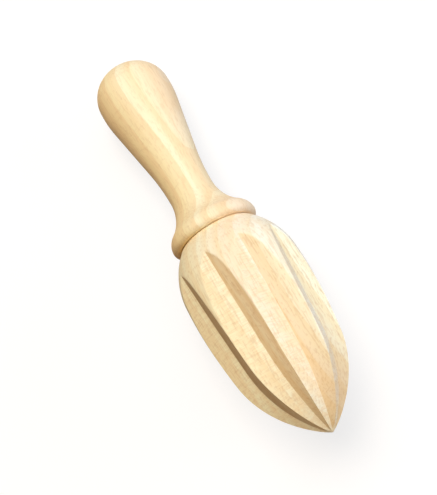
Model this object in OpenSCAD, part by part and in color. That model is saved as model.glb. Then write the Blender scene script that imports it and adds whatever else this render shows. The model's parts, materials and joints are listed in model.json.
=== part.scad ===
// Wooden citrus reamer: a fluted beech head glued by a turned tenon into a club-shaped handle.
// It is drawn lying down as it rests on a table, tip towards +X, with the table at Z = 0.

/* [Overall] */
// Length from the tip of the head to the end of the handle
total_len = 165; // [155:1:180]

/* [Head] */
// Greatest diameter of the head
head_d = 47; // [44:0.5:50]
// Distance from the tip to the widest place
head_widest = 56; // [53:0.5:59]
// Distance from the tip to the flat back of the head
head_len = 85; // [82:0.5:87]
// Radius of the curve of the long flanks
flank_r = 165; // [145:1:185]
// Radius of the curve of the nose
nose_r = 39; // [37:0.5:42]
// Radius of the curve of the shoulder
shoulder_r = 28; // [26:0.5:32]
// Length of the shoulder, from the end of the flank to the flat back
shoulder_len = 20; // [18:0.5:22]
// Radius of the rounded back corner
corner_r = 1.5; // [1:0.25:2.5]

/* [Flutes] */
// Number of flutes round the head
flute_count = 9; // [7:1:12]
// Angle between the two walls of a flute
flute_angle = 145; // [125:1:155]
// Radius of the core that the flutes leave uncut, at its widest
core_r = 21.1; // [19.7:0.1:21.7]
// Distance from the tip to the widest place of the core
core_widest = 68; // [64:0.5:72]
// Radius of the curve that the flute bottoms follow along the flank
core_flank_r = 205; // [175:1:235]
// Radius of the curve that the flute bottoms follow round the nose
core_nose_r = 41.5; // [39.5:0.5:45]
// Radius of the uncut point at the tip
point_r = 0.4; // [0.2:0.1:0.8]

/* [Collar and neck] */
// Greatest diameter of the collar
collar_d = 35; // [33:0.5:38]
// Distance from the front face of the handle to the collar's widest place
collar_rise = 0.75; // [0.5:0.25:1.5]
// Radius that turns the collar under to the front face
lip_r = 1.75; // [1.5:0.25:3]
// Radius of the collar's rounded back
bead_r = 5.5; // [4:0.5:7]
// Radius of the hollow between the collar and the neck
cove_r = 18.5; // [16:0.5:20]
// Least diameter of the neck
neck_d = 18; // [17:0.5:20]
// Length taken from the neck by the curve that leads into the straight taper
neck_ease = 7.8; // [6:0.2:10]

/* [Grip] */
// Greatest diameter of the grip
grip_d = 30; // [27:0.5:33]
// Length of the straight stretch at the widest place
grip_straight = 1.8; // [0.4:0.2:4]
// Length taken from the grip by the curve that ends the straight taper
belly_ease = 3.8; // [2:0.2:6]
// Radius of the domed end
end_r = 21; // [18:0.5:26]
// Radius between the belly and the domed end
end_corner_r = 13; // [11:0.5:14]

/* [Joint] */
// Diameter of the tenon on the back of the head
tenon_d = 10; // [8:0.5:12]
// Length of the tenon
tenon_len = 20; // [14:0.5:26]
// Chamfer on the end of the tenon
tenon_chamfer = 1; // [0.5:0.25:1.5]
// Gap for glue all round the tenon
glue_gap = 0.1; // [0.05:0.05:0.2]
// Depth of the socket beyond the end of the tenon
glue_room = 1.5; // [0.5:0.25:3]

/* [Hidden] */
beech = [0.93, 0.79, 0.58];
beech_head = [0.95, 0.84, 0.64];
turn_steps = 180;
arc_steps = 14;
seat_overlap = 1;

// Points of an arc about centre c = [radius, height], from angle a0 to a1
function arc(c, r, a0, a1, n = arc_steps) =
    [for (i = [0 : n]) let (a = a0 + (a1 - a0) * i / n) c + r * [cos(a), sin(a)]];

// Direction from p to q as an angle
function heading(p, q) = atan2(q[1] - p[1], q[0] - p[0]);

// The point at distance ra from a and rb from b, to the right of the way from a to b
function meet(a, b, ra, rb) =
    let (d = norm(b - a), u = (b - a) / d, along = (d * d + ra * ra - rb * rb) / (2 * d))
    a + along * u + sqrt(ra * ra - along * along) * [u[1], -u[0]];

// Outline of the turned head before it is fluted: nose, flank, shoulder and back corner are arcs
// that run smoothly into each other. Heights run from the tip at 0 towards the handle.
tip = [0, 0];
head_r = head_d / 2;
flank_c = [head_r - flank_r, head_widest];
nose_c = meet(tip, flank_c, nose_r, flank_r - nose_r);
nose_a = heading(flank_c, nose_c);
shoulder_a = asin((head_len - shoulder_len - head_widest) / flank_r);
shoulder_c = flank_c + (flank_r - shoulder_r) * [cos(shoulder_a), sin(shoulder_a)];
corner_z = head_len - corner_r;
corner_x = shoulder_c[0] + sqrt(pow(shoulder_r - corner_r, 2) - pow(corner_z - shoulder_c[1], 2));
corner_c = [corner_x, corner_z];
corner_a = heading(shoulder_c, corner_c);
nose_arc = arc(nose_c, nose_r, heading(nose_c, tip), nose_a);
flank_arc = arc(flank_c, flank_r, nose_a, shoulder_a, 10);
shoulder_arc = arc(shoulder_c, shoulder_r, shoulder_a, corner_a);
corner_arc = arc(corner_c, corner_r, corner_a, 90, 4);

// All the outline's points but the tip, each once
function after_first(list) = [for (i = [1 : len(list) - 1]) list[i]];
head_outline = concat(
    after_first(nose_arc), after_first(flank_arc), after_first(shoulder_arc), after_first(corner_arc)
);

// The flute bottoms follow an inner outline of two arcs, from the point at the tip
core_c = [core_r - core_flank_r, core_widest];
core_nose_c = meet([point_r, 0], core_c, core_nose_r, core_flank_r - core_nose_r);
core_join = core_c[1] + core_flank_r * sin(heading(core_c, core_nose_c));
function arc_x(c, r, z) = c[0] + sqrt(max(0, r * r - pow(z - c[1], 2)));
function core_x(z) = z < core_join ? arc_x(core_nose_c, core_nose_r, z) : arc_x(core_c, core_flank_r, z);

// A flute wall leaves its bottom at a slope, so its radius grows with the angle away from the bottom
wall_slope = 1 / tan(flute_angle / 2);
half_pitch = 180 / flute_count;
least_edge = 1.5;
least_land = 0.4;
function wall_x(z, a) = core_x(z) / (cos(a) - wall_slope * sin(abs(a)));
function edge_a(r, z) =
    core_x(z) >= r ? 0 : acos(core_x(z) / r / sqrt(1 + pow(wall_slope, 2))) - atan(wall_slope);
function land_start(r, z) = min(half_pitch - least_land, max(least_edge, edge_a(r, z)));

// Angles across one flute and half of each land beside it
function flute_angles(r, z) =
    let (e = land_start(r, z), step = (half_pitch - e) / 3)
    [-half_pitch, -e - 2 * step, -e - step, -e, 0, e, e + step, e + 2 * step];

// One ring of points round the head at an outline point p, with the first flute underneath
function head_ring(p) =
    [for (i = [0 : flute_count - 1]) for (a = flute_angles(p[0], p[1]))
        let (r = min(p[0], wall_x(p[1], a)), turn = 180 + 2 * half_pitch * i + a)
        [r * cos(turn), r * sin(turn), p[1]]];

// Handle: heights still run from the tip of the head, so both pieces share one axis
collar_r = collar_d / 2;
collar_z = head_len + collar_rise;
lip_c = [collar_r - lip_r, collar_z];
bead_c = [collar_r - bead_r, collar_z];
cove_x = neck_d / 2 + cove_r;
neck_z = collar_z + sqrt(pow(cove_r + bead_r, 2) - pow(cove_x - bead_c[0], 2));
cove_c = [cove_x, neck_z];
cove_a = heading(bead_c, cove_c);
end_c = [0, total_len - end_r];
end_corner_x = grip_d / 2 - end_corner_r;
end_corner_c = [end_corner_x, end_c[1] + sqrt(pow(end_r - end_corner_r, 2) - pow(end_corner_x, 2))];
end_a = heading(end_c, end_corner_c);

// A straight taper joins neck and grip, and an arc rounds each of its two corners
belly_z = end_corner_c[1] - grip_straight;
taper_start = [neck_d / 2, neck_z + neck_ease];
taper_end = [grip_d / 2, belly_z - belly_ease];
taper_a = 90 - heading(taper_start, taper_end);
neck_r = neck_ease / tan(taper_a / 2);
belly_r = belly_ease / tan(taper_a / 2);
neck_c = [neck_d / 2 + neck_r, neck_z];
belly_c = [grip_d / 2 - belly_r, belly_z];
handle_outline = concat(
    [[0, head_len]],
    arc(lip_c, lip_r, -asin(collar_rise / lip_r), 0, 6),
    after_first(arc(bead_c, bead_r, 0, cove_a)),
    after_first(arc(cove_c, cove_r, cove_a + 180, 180)),
    after_first(arc(neck_c, neck_r, 180, 180 - taper_a)),
    arc(belly_c, belly_r, -taper_a, 0),
    arc(end_corner_c, end_corner_r, 0, end_a),
    after_first(arc(end_c, end_r, end_a, 90))
);

// Resting pose: the table touches the lowest ring of the head and the lowest point of the grip.
// Of all lines from a head ring that graze the handle, the table is the steepest.
head_lows = [for (p = head_outline) [-min([for (q = head_ring(p)) q[0]]), p[1]]];
function slope(p, q) = atan2(p[0] - q[0], q[1] - p[1]);
rest_tilt = max([for (p = head_lows) min([for (q = handle_outline) slope(p, q)])]);
rest_height = max([for (q = handle_outline) q * [cos(rest_tilt), sin(rest_tilt)]]);
rest_middle = ((total_len - end_r) * cos(rest_tilt) + end_r) / 2;

// Lays a piece down with its tip towards +X, centred over the origin
module lay_down() {
    translate([rest_middle, 0, rest_height])
        rotate([0, -90 - rest_tilt, 0])
            children();
}

// The fluted body: rings of points joined from the tip to the flat back
module fluted_body() {
    rings = [for (p = head_outline) head_ring(p)];
    round_n = len(rings[0]);
    last = len(rings) - 1;
    points = concat([[0, 0, 0]], [for (ring = rings) each ring], [[0, 0, head_len]]);
    back = len(points) - 1;
    function at(k, j) = 1 + k * round_n + j % round_n;
    polyhedron(points = points, faces = concat(
        [for (j = [0 : round_n - 1]) [0, at(0, j), at(0, j + 1)]],
        [for (k = [0 : last - 1]) for (j = [0 : round_n - 1]) [at(k, j), at(k + 1, j), at(k + 1, j + 1)]],
        [for (k = [0 : last - 1]) for (j = [0 : round_n - 1]) [at(k, j), at(k + 1, j + 1), at(k, j + 1)]],
        [for (j = [0 : round_n - 1]) [back, at(last, j + 1), at(last, j)]]
    ));
}

// The tenon is turned in one with the head and starts a little inside it
module tenon() {
    r = tenon_d / 2;
    translate([0, 0, head_len])
        rotate_extrude($fn = turn_steps)
            polygon([
                [0, -seat_overlap], [r, -seat_overlap], [r, tenon_len - tenon_chamfer],
                [r - tenon_chamfer, tenon_len], [0, tenon_len]
            ]);
}

module head() {
    color(beech_head) lay_down() {
        fluted_body();
        tenon();
    }
}

// The socket in the handle takes the tenon with room for glue
module handle() {
    color(beech) lay_down() difference() {
        rotate_extrude($fn = turn_steps) polygon(handle_outline);
        translate([0, 0, head_len - seat_overlap])
            cylinder(d = tenon_d + 2 * glue_gap, h = tenon_len + glue_room + seat_overlap, $fn = turn_steps);
    }
}

head();
handle();
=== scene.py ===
# %% [markdown]
# # A turned beech citrus reamer
# The real tool is two pieces of pale beech: a pointed head with nine V flutes, and a club-shaped
# handle with a flared collar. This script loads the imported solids, lays two finer surfaces over
# them, gives each piece its own beech, and photographs the tool from above on a white table.

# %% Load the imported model
import json
import math

import bpy
import numpy as np
from mathutils import Matrix


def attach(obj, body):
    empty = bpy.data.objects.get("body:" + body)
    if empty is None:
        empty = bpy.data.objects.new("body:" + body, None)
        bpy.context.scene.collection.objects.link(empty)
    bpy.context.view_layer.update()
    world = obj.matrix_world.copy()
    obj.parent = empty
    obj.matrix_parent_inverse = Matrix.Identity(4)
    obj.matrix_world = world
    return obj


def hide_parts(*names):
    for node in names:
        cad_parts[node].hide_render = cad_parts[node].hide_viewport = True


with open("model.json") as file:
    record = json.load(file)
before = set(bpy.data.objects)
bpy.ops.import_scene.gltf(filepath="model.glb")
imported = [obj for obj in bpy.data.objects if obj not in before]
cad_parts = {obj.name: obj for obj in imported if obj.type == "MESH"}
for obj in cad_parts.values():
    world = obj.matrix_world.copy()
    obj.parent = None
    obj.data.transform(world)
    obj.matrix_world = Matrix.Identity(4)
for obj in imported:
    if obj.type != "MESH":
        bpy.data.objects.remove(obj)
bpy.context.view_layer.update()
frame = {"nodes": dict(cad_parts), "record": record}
print("nodes:", sorted(frame["nodes"]))

# %% [markdown]
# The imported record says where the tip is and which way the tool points. Everything below is drawn
# in the tool's own frame: millimetres from the tip towards the handle, a radius, and an angle
# round the axis that is 0 straight up and grows towards +Y. The tool leans on the table, so its
# axis isn't level, and three unit vectors carry the tool's frame into the model's.

# %% The tool's own frame
MM = 0.001
mounts = {m["name"]: m for m in frame["record"]["mounts"]}
TIP = np.array(mounts["juicing_head"]["pos_m"])
towards_tip = np.array(mounts["juicing_head"]["axis"])
ALONG = -towards_tip / np.linalg.norm(towards_tip)
SIDE = np.array([0.0, 1.0, 0.0])
UP = np.cross(SIDE, ALONG)
TILT = math.atan2(towards_tip[2], towards_tip[0])
print(f"the tool rises by {math.degrees(TILT):.2f} degrees towards its tip")


def place(radius, height, angle):
    """Points at a radius from the axis, a height from the tip and an angle round the axis, in metres."""
    out = radius[..., None] * (np.cos(angle)[..., None] * UP + np.sin(angle)[..., None] * SIDE)
    return TIP + MM * (out + height[..., None] * ALONG)


# %% [markdown]
# Turned work is drawn as a profile of arcs that run smoothly into each other. An arc is its
# centre, its radius and two angles. Where one arc has to touch another and pass through a given
# point, its centre lies at a known distance from both, so it is where two circles cross.

# %% Arcs
def arc(centre, radius, start, end, steps):
    """Centre plus radius times (cos, sin) of evenly spaced angles: rows of (radius, height)."""
    angles = np.linspace(start, end, steps)
    return np.asarray(centre) + radius * np.column_stack([np.cos(angles), np.sin(angles)])


def heading(p, q):
    """Direction from p to q, as an angle."""
    return math.atan2(q[1] - p[1], q[0] - p[0])


def meet(a, b, from_a, from_b):
    """The point at given distances from a and b, to the right of the way from a to b."""
    a, b = np.asarray(a, float), np.asarray(b, float)
    gap = np.linalg.norm(b - a)
    ahead = (b - a) / gap
    along = (gap**2 + from_a**2 - from_b**2) / (2 * gap)
    across = math.sqrt(from_a**2 - along**2)
    return a + along * ahead + across * np.array([ahead[1], -ahead[0]])


# %% [markdown]
# The head was turned to a smooth bud first: a round nose, long flanks, a shoulder and a small
# rounded back corner. The same sizes as in the solid are used, so the finer surface lies on it.

# %% Profile of the head before it is fluted
HEAD_R = mounts["juicing_head"]["dims"]["r_mm"]
HEAD_LEN = mounts["juicing_head"]["dims"]["length_mm"]
HEAD_WIDEST = 56.0
FLANK_R, NOSE_R, SHOULDER_R, CORNER_R = 165.0, 39.0, 28.0, 1.5
SHOULDER_LEN = 20.0
TENON_R, TENON_LEN, TENON_CHAMFER = 5.0, 20.0, 1.0

flank_c = np.array([HEAD_R - FLANK_R, HEAD_WIDEST])
nose_c = meet([0, 0], flank_c, NOSE_R, FLANK_R - NOSE_R)
nose_a = heading(flank_c, nose_c)
shoulder_a = math.asin((HEAD_LEN - SHOULDER_LEN - HEAD_WIDEST) / FLANK_R)
shoulder_c = flank_c + (FLANK_R - SHOULDER_R) * np.array([math.cos(shoulder_a), math.sin(shoulder_a)])
corner_z = HEAD_LEN - CORNER_R
reach = SHOULDER_R - CORNER_R
corner_c = np.array([shoulder_c[0] + math.sqrt(reach**2 - (corner_z - shoulder_c[1]) ** 2), corner_z])
corner_a = heading(shoulder_c, corner_c)
back_r = corner_c[0]
tenon_end = HEAD_LEN + TENON_LEN
head_profile = np.vstack([
    arc(nose_c, NOSE_R, heading(nose_c, [0, 0]), nose_a, 90),
    arc(flank_c, FLANK_R, nose_a, shoulder_a, 90)[1:],
    arc(shoulder_c, SHOULDER_R, shoulder_a, corner_a, 90)[1:],
    arc(corner_c, CORNER_R, corner_a, math.pi / 2, 12)[1:],
    [[TENON_R, HEAD_LEN], [TENON_R, tenon_end - TENON_CHAMFER]],
    [[TENON_R - TENON_CHAMFER, tenon_end], [0, tenon_end]],
])
head_profile[0] = 0.0
print(f"head: {len(head_profile)} rings, back face radius {back_r:.1f} mm")

# %% [markdown]
# Each flute is one pass of a V cutter whose depth follows an inner profile, the core. A wall
# leaves the flute's bottom at a fixed slope, so at an angle a from the bottom its radius is the
# core's divided by (cos a - slope * sin a). The head's surface is the lower of this wall and the
# turned bud. A soft minimum of the two leaves the fine rounding that sanding gives. The flutes
# are up to 0.8 mm deeper than in the solid and so wider, and their bottoms are straighter,
# because a closer look at the photograph showed that after the solid was done.

# %% Flutes
FLUTES = 9
FLUTE_ANGLE = math.radians(142)
CORE_R, CORE_WIDEST, CORE_FLANK_R, CORE_NOSE_R, POINT_R = 23.2, 140.0, 1100.0, 45.0, 0.4
EDGE_SOFT = 0.09
VALLEY_SOFT = math.radians(0.35)
LEAST_EDGE, LEAST_LAND = math.radians(1.5), math.radians(0.4)

core_c = np.array([CORE_R - CORE_FLANK_R, CORE_WIDEST])
core_nose_c = meet([POINT_R, 0], core_c, CORE_NOSE_R, CORE_FLANK_R - CORE_NOSE_R)
core_join = core_c[1] + CORE_FLANK_R * math.sin(heading(core_c, core_nose_c))
wall_slope = 1 / math.tan(FLUTE_ANGLE / 2)
half_pitch = math.pi / FLUTES


def core_radius(z):
    """Radius of the flute bottoms: the nose arc up to the join, the flank arc beyond it."""
    nose = core_nose_c[0] + np.sqrt(np.maximum(0, CORE_NOSE_R**2 - (z - core_nose_c[1]) ** 2))
    flank = core_c[0] + np.sqrt(np.maximum(0, CORE_FLANK_R**2 - (z - core_c[1]) ** 2))
    return np.where(z < core_join, nose, flank)


def wall_radius(z, angle):
    """Radius of a flute wall at an angle from the flute's bottom."""
    off = np.sqrt(angle**2 + VALLEY_SOFT**2)
    return core_radius(z) / (np.cos(off) - wall_slope * np.sin(off))


def land_start(profile):
    """Angle from a flute's bottom to the land's edge, where the wall meets the turned bud."""
    radius, core = np.maximum(profile[:, 0], 1e-6), core_radius(profile[:, 1])
    share = np.clip(core / radius / math.hypot(1, wall_slope), -1, 1)
    edge = np.where(core < radius, np.arccos(share) - math.atan(wall_slope), 0)
    return np.clip(edge, LEAST_EDGE, half_pitch - LEAST_LAND)


print(f"flutes: {FLUTES}, walls {math.degrees(FLUTE_ANGLE):.0f} degrees apart")

# %% [markdown]
# A cutter that is fed by hand wanders. On the side that the photograph shows, lands and flute
# bottoms lie up to a few degrees off their even places, most of all near the tip. A line's shift
# is one number for the body and one that fades away from the tip. Between two lines it changes
# evenly, so the walls stay flat. Round the back, where nothing is known, the lines keep their place.

# %% Wander of the flutes
LINES = np.radians([-80, -60, -40, -20, 0, 20, 40, 60])
BODY_SHIFT = np.radians([0, 0, 1.8, 2.3, -1.7, -1.5, 0.9, 0])
TIP_SHIFT = np.radians([0, -0.8, 3.8, 2.2, 0.5, -2.6, -1.9, 0])
TIP_REACH = 22.0


def wander(height, angle):
    """Shift of a point round the axis: the body's, plus the tip's times exp(-(height / reach)^2)."""
    turn = (angle + math.pi) % (2 * math.pi) - math.pi
    fade = np.exp(-((height / TIP_REACH) ** 2))
    return np.interp(turn, LINES, BODY_SHIFT) + fade * np.interp(turn, LINES, TIP_SHIFT)


# %% [markdown]
# Both pieces are closed turned surfaces: one ring of points for each profile point, joined to the
# next ring by quads, with a fan of triangles at each end of the axis. The columns of the head
# crowd together at the edges of the lands, where the surface bends sharply.

# %% Meshes from rings
WALL_STEPS = np.array([0.02, 0.05, 0.11, 0.22, 0.38, 0.54, 0.7, 0.83, 0.915, 0.96, 0.985, 1.0])
LAND_STEPS = np.array([0.03, 0.08, 0.17, 0.35, 0.65])


def closed_rings(name, points, ends):
    """A mesh object whose rings (rows of points) are joined by quads and closed by two fans."""
    rows, columns = points.shape[:2]
    vertices = np.vstack([points.reshape(-1, 3), ends])
    here = np.arange(rows * columns).reshape(rows, columns)
    right = np.roll(here, -1, axis=1)
    quads = np.stack([here[:-1], right[:-1], right[1:], here[1:]], axis=-1).reshape(-1, 4)
    first, last = rows * columns, rows * columns + 1
    fan_a = np.column_stack([np.full(columns, first), right[0], here[0]])
    fan_b = np.column_stack([np.full(columns, last), here[-1], right[-1]])
    corners = np.concatenate([quads.ravel(), fan_a.ravel(), fan_b.ravel()])
    sizes = np.concatenate([np.full(len(quads), 4), np.full(2 * columns, 3)])
    mesh = bpy.data.meshes.new(name)
    mesh.vertices.add(len(vertices))
    mesh.vertices.foreach_set("co", vertices.ravel())
    mesh.loops.add(len(corners))
    mesh.loops.foreach_set("vertex_index", corners)
    mesh.polygons.add(len(sizes))
    mesh.polygons.foreach_set("loop_start", np.cumsum(sizes) - sizes)
    mesh.polygons.foreach_set("use_smooth", np.ones(len(sizes), bool))
    mesh.update(calc_edges=True)
    mesh.validate()
    piece = bpy.data.objects.new(name, mesh)
    bpy.context.scene.collection.objects.link(piece)
    print(f"{name}: {len(vertices)} points, {len(sizes)} faces")
    return piece


def sharpen(piece, degrees):
    """Marks edges that bend by more than an angle as sharp, so that smooth shading stops there."""
    bpy.context.view_layer.objects.active = piece
    piece.select_set(True)
    bpy.ops.object.shade_smooth_by_angle(angle=math.radians(degrees), keep_sharp_edges=True)
    piece.select_set(False)


# %% [markdown]
# The head's columns are counted from each flute's bottom. The first flute lies underneath, so a
# land is on top. Each point also remembers how far it is cut below the turned bud and on which
# wall of its flute it lies: a right wall gets a painted shade, a browner tint, and a left wall
# a ripple of the grain.

# %% The head
# A wall's depth below the bud scales the painted shade of a right wall and the ripple of a left wall.
CUT_SHOWS_AT = 0.4  # a wall this far below the bud has the full look of a cut wall
LEAST_R, BACK_MARGIN = 0.02, 0.01


def make_head():
    """Radius is the soft minimum -s * ln(exp(-bud / s) + exp(-wall / s)) on rings and columns."""
    profile = head_profile[1:-1]
    edge = land_start(profile)[:, None]
    wall, land = edge * WALL_STEPS, edge + (half_pitch - edge) * LAND_STEPS
    half = np.hstack([wall, land])
    bottom, top = np.zeros_like(edge), np.full_like(edge, half_pitch)
    off = np.hstack([-top, -half[:, ::-1], bottom, half])
    bud, height = profile[:, :1], np.repeat(profile[:, 1:], off.shape[1], axis=1)
    cut = wall_radius(height, off)
    radius = bud - EDGE_SOFT * np.logaddexp(0, (bud - cut) / EDGE_SOFT)
    behind = height >= HEAD_LEN - BACK_MARGIN
    radius = np.where(behind, bud, np.maximum(radius, LEAST_R))
    depth = np.clip((bud - radius) / CUT_SHOWS_AT, 0, 1) * ~behind
    turns = math.pi + 2 * half_pitch * np.arange(FLUTES)
    angle = (turns[None, :, None] + off[:, None, :]).reshape(len(profile), -1)
    radius, height = np.tile(radius, (1, FLUTES)), np.tile(height, (1, FLUTES))
    angle = angle + wander(height, angle)
    ends = place(np.zeros(2), head_profile[[0, -1], 1], np.zeros(2))
    piece = closed_rings("head_beech_body", place(radius, height, angle), ends)
    # wall_side is positive on right walls, which get a painted shade, and negative on left walls, which
    # get a ripple.
    side = np.tile(depth * np.sign(off), (1, FLUTES)).ravel()
    wall_side = piece.data.attributes.new("wall_side", "FLOAT", "POINT")
    wall_side.data.foreach_set("value", np.append(side, [0, 0]).astype(np.float32))
    return piece


head = make_head()
sharpen(head, 50)
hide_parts("head")
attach(head, "root")

# %% [markdown]
# The handle is plain turned work. Its profile starts on the axis at the bottom of the socket,
# comes out through the mouth, runs out to just beyond the head's rounded back corner, turns round
# the lip and the bead of the collar, dips into the hollow and the neck, runs up a straight taper
# and ends in a dome. The lip is a little fuller than in the solid and reaches over the head's
# corner, so that the joint shows as a fine line.

# %% Profile of the handle
COLLAR_R, COLLAR_RISE, LIP_R, BEAD_R, COVE_R = 17.5, 0.75, 2.0, 5.5, 18.5
LIP_TURN, LIP_REACH, JOINT_GAP = math.radians(100), 1.1, 0.03
NECK_R, NECK_EASE = 9.0, 7.8
GRIP_R = mounts["grip"]["dims"]["r_mm"]
GRIP_STRAIGHT, BELLY_EASE = 1.8, 3.8
END_R, END_CORNER_R = 21.0, 13.0
TOTAL_LEN = 165.0
SEAT_R, FRONT_Z = back_r + CORNER_R + JOINT_GAP, HEAD_LEN - LIP_REACH
GLUE_GAP, GLUE_ROOM = 0.1, 1.5
SOCKET_R, SOCKET_END = TENON_R + GLUE_GAP, tenon_end + GLUE_ROOM

collar_z = HEAD_LEN + COLLAR_RISE
lip_c, bead_c = np.array([COLLAR_R - LIP_R, collar_z]), np.array([COLLAR_R - BEAD_R, collar_z])
cove_x = NECK_R + COVE_R
neck_z = collar_z + math.sqrt((COVE_R + BEAD_R) ** 2 - (cove_x - bead_c[0]) ** 2)
cove_c = np.array([cove_x, neck_z])
cove_a = heading(bead_c, cove_c)
end_c = np.array([0, TOTAL_LEN - END_R])
end_corner_x = GRIP_R - END_CORNER_R
end_corner_z = end_c[1] + math.sqrt((END_R - END_CORNER_R) ** 2 - end_corner_x**2)
end_corner_c = np.array([end_corner_x, end_corner_z])
end_a = heading(end_c, end_corner_c)
belly_z = end_corner_z - GRIP_STRAIGHT
taper_a = math.pi / 2 - heading([NECK_R, neck_z + NECK_EASE], [GRIP_R, belly_z - BELLY_EASE])
neck_curve, belly_curve = NECK_EASE / math.tan(taper_a / 2), BELLY_EASE / math.tan(taper_a / 2)
neck_c, belly_c = np.array([NECK_R + neck_curve, neck_z]), np.array([GRIP_R - belly_curve, belly_z])
handle_profile = np.vstack([
    [[0, SOCKET_END], [SOCKET_R, SOCKET_END], [SOCKET_R, HEAD_LEN]],
    [[SEAT_R, HEAD_LEN], [SEAT_R, FRONT_Z]],
    arc(lip_c, LIP_R, -LIP_TURN, 0, 40),
    arc(bead_c, BEAD_R, 0, cove_a, 30)[1:],
    arc(cove_c, COVE_R, cove_a + math.pi, math.pi, 50)[1:],
    arc(neck_c, neck_curve, math.pi, math.pi - taper_a, 30)[1:],
    arc(belly_c, belly_curve, -taper_a, 0, 24),
    arc(end_corner_c, END_CORNER_R, 0, end_a, 40),
    arc(end_c, END_R, end_a, math.pi / 2, 24)[1:],
])
print(f"handle: {len(handle_profile)} rings, neck at {neck_z:.1f} mm from the tip")

# %% The handle
HANDLE_COLUMNS = 288


def make_handle():
    """Every profile point is turned through evenly spaced angles round the axis."""
    rings = handle_profile[1:-1]
    angle = np.tile(np.linspace(0, 2 * math.pi, HANDLE_COLUMNS, endpoint=False), (len(rings), 1))
    radius, height = (np.repeat(rings[:, i : i + 1], HANDLE_COLUMNS, axis=1) for i in (0, 1))
    ends = place(np.zeros(2), handle_profile[[0, -1], 1], np.zeros(2))
    return closed_rings("handle_beech_body", place(radius, height, angle), ends)


handle = make_handle()
sharpen(handle, 40)
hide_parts("handle")
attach(handle, "root")

# %% [markdown]
# Shader maths reads best as arithmetic. This class wraps one socket, so that adding or
# multiplying two of them adds the Math node that does it. Every other node comes from one
# method, which sets the node's own settings first and its sockets after that.

# %% Shader arithmetic
class Wire:
    """One output socket of a material's node tree."""

    def __init__(self, tree, socket=None):
        self.tree, self.socket = tree, socket

    def node(self, kind, settings=None, output=0, **sockets):
        """A new node of a kind, with its settings and its sockets' values or links."""
        made = self.tree.nodes.new("ShaderNode" + kind)
        for name, value in (settings or {}).items():
            if name == "stops":
                ramp = made.color_ramp
                for k, (where, colour) in enumerate(value):
                    stop = ramp.elements[k] if k < 2 else ramp.elements.new(where)
                    stop.position, stop.color = where, (*colour, 1)
            else:
                setattr(made, name, value)
        for name, value in sockets.items():
            numbered = name.startswith("in") and name[2:].isdigit()
            target = made.inputs[int(name[2:]) if numbered else name.replace("_", " ")]
            if isinstance(value, Wire):
                self.tree.links.new(value.socket, target)
            else:
                target.default_value = value
        return Wire(self.tree, made.outputs[output])

    def beside(self, output):
        """Another output of this socket's node, by name or number."""
        return Wire(self.tree, self.socket.node.outputs[output])

    def maths(self, operation, *values):
        return self.node("Math", {"operation": operation}, **{f"in{k}": v for k, v in enumerate(values)})

    def __add__(self, other):
        return self.maths("ADD", self, other)

    def __sub__(self, other):
        return self.maths("SUBTRACT", self, other)

    def __rsub__(self, other):
        return self.maths("SUBTRACT", other, self)

    def __mul__(self, other):
        return self.maths("MULTIPLY", self, other)

    def __truediv__(self, other):
        return self.maths("DIVIDE", self, other)

    def __pow__(self, other):
        return self.maths("POWER", self, other)

    __radd__, __rmul__ = __add__, __mul__

    def step(self, low, high):
        """0 below low, 1 above high, and smooth between them."""
        settings = {"interpolation_type": "SMOOTHSTEP"}
        return self.node("MapRange", settings, Value=self, From_Min=low, From_Max=high)

    def tinted(self, tint):
        """This colour times another."""
        return self.node("VectorMath", {"operation": "MULTIPLY"}, in0=self, in1=tint)

    def mix(self, first, second):
        """The first colour where this value is 0, the second where it is 1."""
        return self.node("Mix", {"data_type": "RGBA"}, output=2, in0=self, in6=first, in7=second)


def colour(red, green, blue):
    """A colour given as 0 to 255 on a screen, in the linear values that a shader wants."""
    share = np.array([red, green, blue]) / 255
    linear = np.where(share <= 0.04045, share / 12.92, ((share + 0.055) / 1.055) ** 2.4)
    return (*linear.tolist(), 1.0)


# %% [markdown]
# Beech shows four things at this distance. Growth rings cut lengthwise give long tan streaks.
# Rays, thin sheets that run out from the heart of the tree, show as short dark flecks on one
# face and as a ripple across the grain on the face at right angles. Fibres give fine lines along
# the grain, and where a steep face cuts across them, a stipple of dots. All four come from one
# frame: millimetres along the grain, out from the heart, and round it.

# %% The grain's frame
AXIS_HEIGHT = float(np.dot(TIP, UP))


def grain_frame(wire, heart):
    """Along, outwards and round in millimetres, for a tree whose heart is at (side, up) from the axis."""
    at = wire.node("TexCoord", output=3)
    scale = (1 / MM, 1 / MM, 1 / MM)
    shift = (0.0, -heart[0], -AXIS_HEIGHT / MM - heart[1])
    turned = wire.node("Mapping", Vector=at, Rotation=(0, TILT, 0), Scale=scale, Location=shift)
    split = turned.node("SeparateXYZ", Vector=turned)
    along, across, up = (split.beside(k) for k in range(3))
    outwards = (across * across + up * up) ** 0.5
    around = wire.maths("ARCTAN2", up, across) * math.hypot(*heart)
    return along, outwards, around


# %% [markdown]
# Each pattern of the wood is noise in that frame. The table gives the size of its blobs in
# millimetres, along the grain, out from the heart and round it, then the noise's detail, and a
# number added to the tree's own seed that keeps the patterns from lying on each other.

# %% Patterns of the wood
PATTERNS = {
    "waver": ((60.0, 14.0, 14.0), 2.0, 0.0),
    "broad": ((120.0, 2.4, 4.0), 2.0, 3.0),
    "rays": ((1.6, 7.0, 0.42), 1.0, 5.0),
    "fibre": ((6.0, 0.62, 0.62), 2.5, 7.0),
    "ripple": ((1.5, 6.0, 4.0), 2.5, 11.0),
    "fine": ((0.5, 4.0, 2.4), 1.0, 13.0),
    "dots": ((8.0, 0.62, 0.62), 1.0, 17.0),
}


def pattern(wire, parts, kind, seed):
    """One of the wood's patterns, as smooth noise from 0 to 1."""
    sizes, detail, seed_step = PATTERNS[kind]
    x, y, z = (part / size for part, size in zip(parts, sizes))
    vector = wire.node("CombineXYZ", X=x, Y=y, Z=z)
    settings = {"noise_dimensions": "4D"}
    return wire.node("TexNoise", settings, Vector=vector, W=seed + seed_step, Scale=1.0, Detail=detail)
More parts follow.
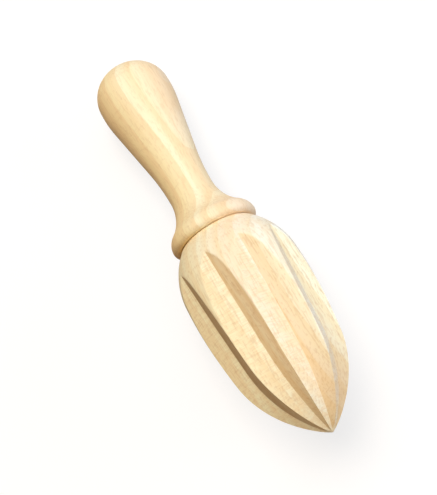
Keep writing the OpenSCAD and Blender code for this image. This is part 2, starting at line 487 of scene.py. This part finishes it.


# %% [markdown]
# One function makes the beech of either piece from its colours and the place of its heart. A
# ramp colours the wood from tan near the heart to cream far from it, and both the ramp and the
# rings, a sawtooth of the distance from the heart, waver a little along the grain. The heart lies
# far off the -Y side, away from the right lamp, so the ramp runs across the piece: partly grain,
# partly painted shade on the -Y side and, on the head, painted light at the +Y side. The flute
# walls that turn to the right are browner, most of all near the heart: painted shade on walls that
# face away from the right lamp. The ones that turn to the left carry the ripple of the grain. The
# attribute wall_side tells them apart, and a second ramp gives the painted shade, a tint that the
# right ones are multiplied by. The numbers above the function say how strongly each pattern tints
# the wood, from 0 to 1: the plain ones on the handle, the fluted ones on the head, and what a right
# or a left wall adds to them. Colour and bump come from the same patterns, so that a fleck is also a
# shallow mark.

# %% Beech
RAMP_WAVER, RING_WAVER = 6.0, 5.0  # millimetres
LATE_SHARE, BROAD_SHARE, DOT_SHARE = 0.42, 0.30, 0.14
RIPPLE_SHARE, LEFT_RIPPLE, LEFT_FINE = 0.10, 0.28, 0.16
PLAIN_FLECKS, PLAIN_PORES, END_GRAIN_PORES = 0.12, 0.17, -0.10
FLUTED_FLECKS, FLUTED_PORES, RIGHT_FLECKS, RIGHT_PORES = 0.08, 0.24, 0.16, 0.06
LEAST_ROUGH, FIBRE_ROUGH, SHEEN = 0.58, 0.16, 0.3
BUMP_STRENGTH, BUMP_DEPTH = 0.35, 0.12 * MM


def beech(name, heart, seed, across, streak, line, ring_mm, spread, walls=None):
    """A matte, unfinished beech. Its colours change across the piece, from near the heart outwards."""
    material = bpy.data.materials.new(name)
    material.use_nodes = True
    tree = material.node_tree
    shader = tree.nodes["Principled BSDF"]
    wire = Wire(tree)
    parts = grain_frame(wire, heart)
    out_from_heart = parts[1]
    waver = pattern(wire, parts, "waver", seed)
    # The ramp runs across the piece from its -Y side to its +Y side: partly grain, partly painted shade
    # on the -Y side and painted light towards the +Y side.
    ramp_start = math.hypot(*heart) + RAMP_WAVER / 2 - spread
    share = (out_from_heart + waver * RAMP_WAVER - ramp_start) / (2 * spread)
    base = wire.node("ValToRGB", {"stops": across}, Fac=share)
    rings = (out_from_heart + waver * RING_WAVER) / ring_mm
    late = (rings - wire.maths("FLOOR", rings)).step(0.15, 0.96)
    broad = pattern(wire, parts, "broad", seed).step(0.42, 0.66)
    base = (late * LATE_SHARE).mix(base, streak)
    base = (broad * BROAD_SHARE).mix(base, streak)

    fleck_share, pore_share = PLAIN_FLECKS, PLAIN_PORES
    if walls:
        side = wire.node("Attribute", {"attribute_name": "wall_side"}, output=2)
        right_wall, left_wall = side.step(0.0, 1.0), (0 - side).step(0.0, 1.0)
        # Painted shade: right walls get a browner tint, strongest on the -Y side, where they face away
        # from the right lamp.
        base = right_wall.mix(base, base.tinted(wire.node("ValToRGB", {"stops": walls}, Fac=share)))
        ripple = pattern(wire, parts, "ripple", seed).step(0.42, 0.62)
        fine = pattern(wire, parts, "fine", seed).step(0.50, 0.64)
        base = (ripple * (RIPPLE_SHARE + left_wall * LEFT_RIPPLE)).mix(base, streak)
        base = (fine * left_wall * LEFT_FINE).mix(base, line)
        fleck_share = FLUTED_FLECKS + right_wall * RIGHT_FLECKS
        pore_share = FLUTED_PORES + right_wall * RIGHT_PORES

    rays, fibre = pattern(wire, parts, "rays", seed), pattern(wire, parts, "fibre", seed)
    normal = wire.node("TexCoord", output=1)
    facing = wire.node("VectorMath", {"operation": "DOT_PRODUCT"}, output=1, in0=normal, in1=tuple(ALONG))
    end_grain = (facing * facing).step(0.03, 0.50)
    base = (rays.step(0.57, 0.70) * fleck_share).mix(base, line)
    base = (fibre.step(0.50, 0.64) * (pore_share + end_grain * END_GRAIN_PORES)).mix(base, line)
    dots = pattern(wire, parts, "dots", seed).step(0.48, 0.60)
    base = (dots * end_grain * DOT_SHARE).mix(base, line)
    tree.links.new(base.socket, shader.inputs["Base Color"])

    rough = LEAST_ROUGH + fibre * FIBRE_ROUGH
    tree.links.new(rough.socket, shader.inputs["Roughness"])
    shader.inputs["Specular IOR Level"].default_value = SHEEN
    relief = fibre * 0.6 + rays * 0.4
    bump = wire.node("Bump", Strength=BUMP_STRENGTH, Distance=BUMP_DEPTH, Height=relief)
    tree.links.new(bump.socket, shader.inputs["Normal"])
    return material


def stops(*colours):
    """Stops of a colour ramp: pairs of a place from 0 to 1 and a colour without its alpha."""
    return [(where, colour(*shade)[:3]) for where, shade in colours]


head_wood = beech(
    "head_beech", heart=(-62.0, -14.0), seed=2.0, spread=23.5,
    # the tan at the -Y end is partly painted shade, the near white at the +Y end partly painted light
    across=stops(
        (0.0, (255, 234, 188)), (0.22, (255, 245, 208)), (0.37, (253, 238, 200)),
        (0.50, (253, 246, 220)), (0.73, (251, 232, 208)), (0.95, (255, 253, 242)),
    ),
    streak=colour(246, 218, 172), line=colour(206, 160, 108), ring_mm=4.6,
    # painted shade of the right walls, darkest near the heart on the -Y side
    walls=[
        (0.28, (0.58, 0.43, 0.30)), (0.60, (0.90, 0.79, 0.65)), (0.85, (0.87, 0.82, 0.70)),
        (0.97, (0.95, 0.93, 0.80)),
    ],
)
handle_wood = beech(
    "handle_beech", heart=(-52.0, -20.0), seed=21.0, spread=15.0,
    # the tan at the -Y end is partly painted shade
    across=stops(
        (0.0, (250, 210, 152)), (0.38, (252, 228, 178)), (0.52, (252, 234, 190)),
        (0.66, (254, 243, 212)), (0.82, (251, 233, 198)), (1.0, (251, 230, 204)),
    ),
    streak=colour(242, 206, 156), line=colour(200, 154, 104), ring_mm=5.2,
)
for piece, wood in ((head, head_wood), (handle, handle_wood)):
    piece.data.materials.clear()
    piece.data.materials.append(wood)
print("materials:", head_wood.name, handle_wood.name)

# %% [markdown]
# The photograph has a pure white ground. To the camera the table is a matte board that glows
# just enough to reach white where the lamps light it, so it still keeps the tool's soft shadow.
# Farther out, where the lamps fade, it glows fully, so that it runs into the white world. To
# every other ray it is dark and warm, because in the photograph hardly any light comes back from
# below and the undersides of the tool are brown. The world is white to the camera only.

# %% Table and world
HALF_TABLE = 3.0
NEAR_GLOW, LIT_AS_FAR_AS, WHITE_FROM = 0.72, 0.2, 0.9
SKY_LEVEL = 0.03
BLACK, WHITE = (0, 0, 0, 1), (1, 1, 1, 1)


def shown_rays(wire):
    """1 for what the camera sees, directly or mirrored, and 0 for every other ray."""
    seen = wire.node("LightPath", output=0)
    return wire.maths("MAXIMUM", seen, seen.beside("Is Glossy Ray"))


def table_white():
    """White to the camera, dark and warm to every other ray."""
    material = bpy.data.materials.new("table_white")
    material.use_nodes = True
    tree = material.node_tree
    shader = tree.nodes["Principled BSDF"]
    wire = Wire(tree)
    shown = shown_rays(wire)
    board_colour = shown.mix(colour(104, 76, 54), colour(153, 151, 152))
    tree.links.new(board_colour.socket, shader.inputs["Base Color"])
    at = wire.node("TexCoord", output=3)
    away = wire.node("VectorMath", {"operation": "LENGTH"}, output=1, in0=at)
    glow = away.step(LIT_AS_FAR_AS, WHITE_FROM).mix((NEAR_GLOW, NEAR_GLOW, NEAR_GLOW, 1), WHITE)
    tree.links.new(shown.mix(BLACK, glow).socket, shader.inputs["Emission Color"])
    shader.inputs["Emission Strength"].default_value = 1.0
    shader.inputs["Roughness"].default_value = 0.9
    shader.inputs["Specular IOR Level"].default_value = 0.0
    return material


def make_table():
    """A square board at the height that the tool rests on."""
    half = HALF_TABLE
    corners = [(-half, -half, 0), (half, -half, 0), (half, half, 0), (-half, half, 0)]
    mesh = bpy.data.meshes.new("table")
    mesh.from_pydata(corners, [], [(0, 1, 2, 3)])
    mesh.materials.append(table_white())
    board = bpy.data.objects.new("table", mesh)
    bpy.context.scene.collection.objects.link(board)


def make_world():
    """White to the camera, almost dark to every other ray."""
    world = bpy.data.worlds.new("studio")
    bpy.context.scene.world = world
    world.use_nodes = True
    background = world.node_tree.nodes["Background"]
    level = SKY_LEVEL + shown_rays(Wire(world.node_tree)) * (1 - SKY_LEVEL)
    world.node_tree.links.new(level.socket, background.inputs["Strength"])
    background.inputs["Color"].default_value = WHITE


make_table()
make_world()
print("table and world are white to the camera")

# %% [markdown]
# The shading in the photograph says where its light was: faces that look up or to the right are
# cream, those that look left are brown. A warm soft box overhead does most of it. A cool one
# behind the handle and one on the right fill that side, and a weak warm one lights the nose.
# Together they add up to nearly neutral light. A lamp's level of 1 lights a face square to it so
# that its colour renders as written, and the power for that grows with the distance squared.

# %% Lamps
LAMP_AWAY, LAMP_SIZE = 0.9, 0.6


def look_from(position, away):
    """A matrix at a position whose own Z points away from what it looks at."""
    right = np.cross([0.0, 0.0, 1.0], away)
    right /= np.linalg.norm(right)
    columns = np.column_stack([right, np.cross(away, right), away, position])
    return Matrix(np.vstack([columns, [0, 0, 0, 1]]).tolist())


def soft_box(name, direction, level, tint):
    """A square lamp in a direction from the tool, turned towards it."""
    light = bpy.data.lights.new(name, "AREA")
    light.shape, light.size, light.color = "SQUARE", LAMP_SIZE, tint
    light.energy = level * (math.pi * LAMP_AWAY) ** 2
    away = np.array(direction) / np.linalg.norm(direction)
    lamp = bpy.data.objects.new(name, light)
    lamp.matrix_world = look_from(away * LAMP_AWAY, away)
    bpy.context.scene.collection.objects.link(lamp)
    print(f"{name}: level {level}, {LAMP_AWAY} m away")


soft_box("top_box", (-0.37, -0.09, 0.93), 0.93, (1.0, 0.91, 0.76))
soft_box("cool_box", (-0.55, 0.40, 0.73), 0.24, (0.55, 0.77, 1.0))
soft_box("right_box", (0.25, 0.94, 0.21), 0.66, (0.82, 0.90, 1.0))
soft_box("tip_box", (0.85, 0.05, 0.52), 0.28, (1.0, 0.86, 0.66))

# %% [markdown]
# The camera is worked out backwards from the photograph. Four things are read off it: the pixel
# of the tip, the direction of the tool in the picture, how many pixels a millimetre covers at
# the tip, and how far the handle leans away. They fix where the tool is as the camera sees it,
# and turning that round gives the camera's place over the table.

# %% Camera
IMAGE = np.array([437, 495])
FOCAL_PX = 1000.0
TIP_PX = np.array([332.6, 431.8])
AXIS_IN_PICTURE = math.radians(-120.5)
LEAN_AWAY = math.radians(19.4)
PX_PER_MM = 2.896
SENSOR_MM = 36.0


def photo_camera():
    """The tool's frame as the camera sees it, matched to the tool's frame in the model."""
    depth = FOCAL_PX / PX_PER_MM * MM
    tip_seen = depth * np.append((TIP_PX - (IMAGE - 1) / 2) / FOCAL_PX, 1.0)
    flat = math.cos(LEAN_AWAY)
    across, down = flat * math.cos(AXIS_IN_PICTURE), flat * math.sin(AXIS_IN_PICTURE)
    along_seen = np.array([across, down, math.sin(LEAN_AWAY)])
    up_seen = -tip_seen + (tip_seen @ along_seen) * along_seen
    up_seen /= np.linalg.norm(up_seen)
    seen = np.column_stack([along_seen, up_seen, np.cross(along_seen, up_seen)])
    made = np.column_stack([ALONG, UP, np.cross(ALONG, UP)])
    turn = made @ seen.T
    position = TIP - turn @ tip_seen
    axes = turn @ np.diag([1.0, -1.0, -1.0])
    data = bpy.data.cameras.new("photo")
    data.sensor_fit, data.sensor_width = "HORIZONTAL", SENSOR_MM
    data.lens = SENSOR_MM * FOCAL_PX / IMAGE[0]
    data.clip_start, data.clip_end = 0.01, 20.0
    camera = bpy.data.objects.new("photo", data)
    rows = np.vstack([np.column_stack([axes, position]), [0, 0, 0, 1]])
    camera.matrix_world = Matrix(rows.tolist())
    bpy.context.scene.collection.objects.link(camera)
    print("camera at", [round(float(v), 3) for v in position], f"lens {data.lens:.1f} mm")
    return camera


bpy.context.scene.camera = photo_camera()
bpy.context.scene.view_settings.view_transform = "Standard"
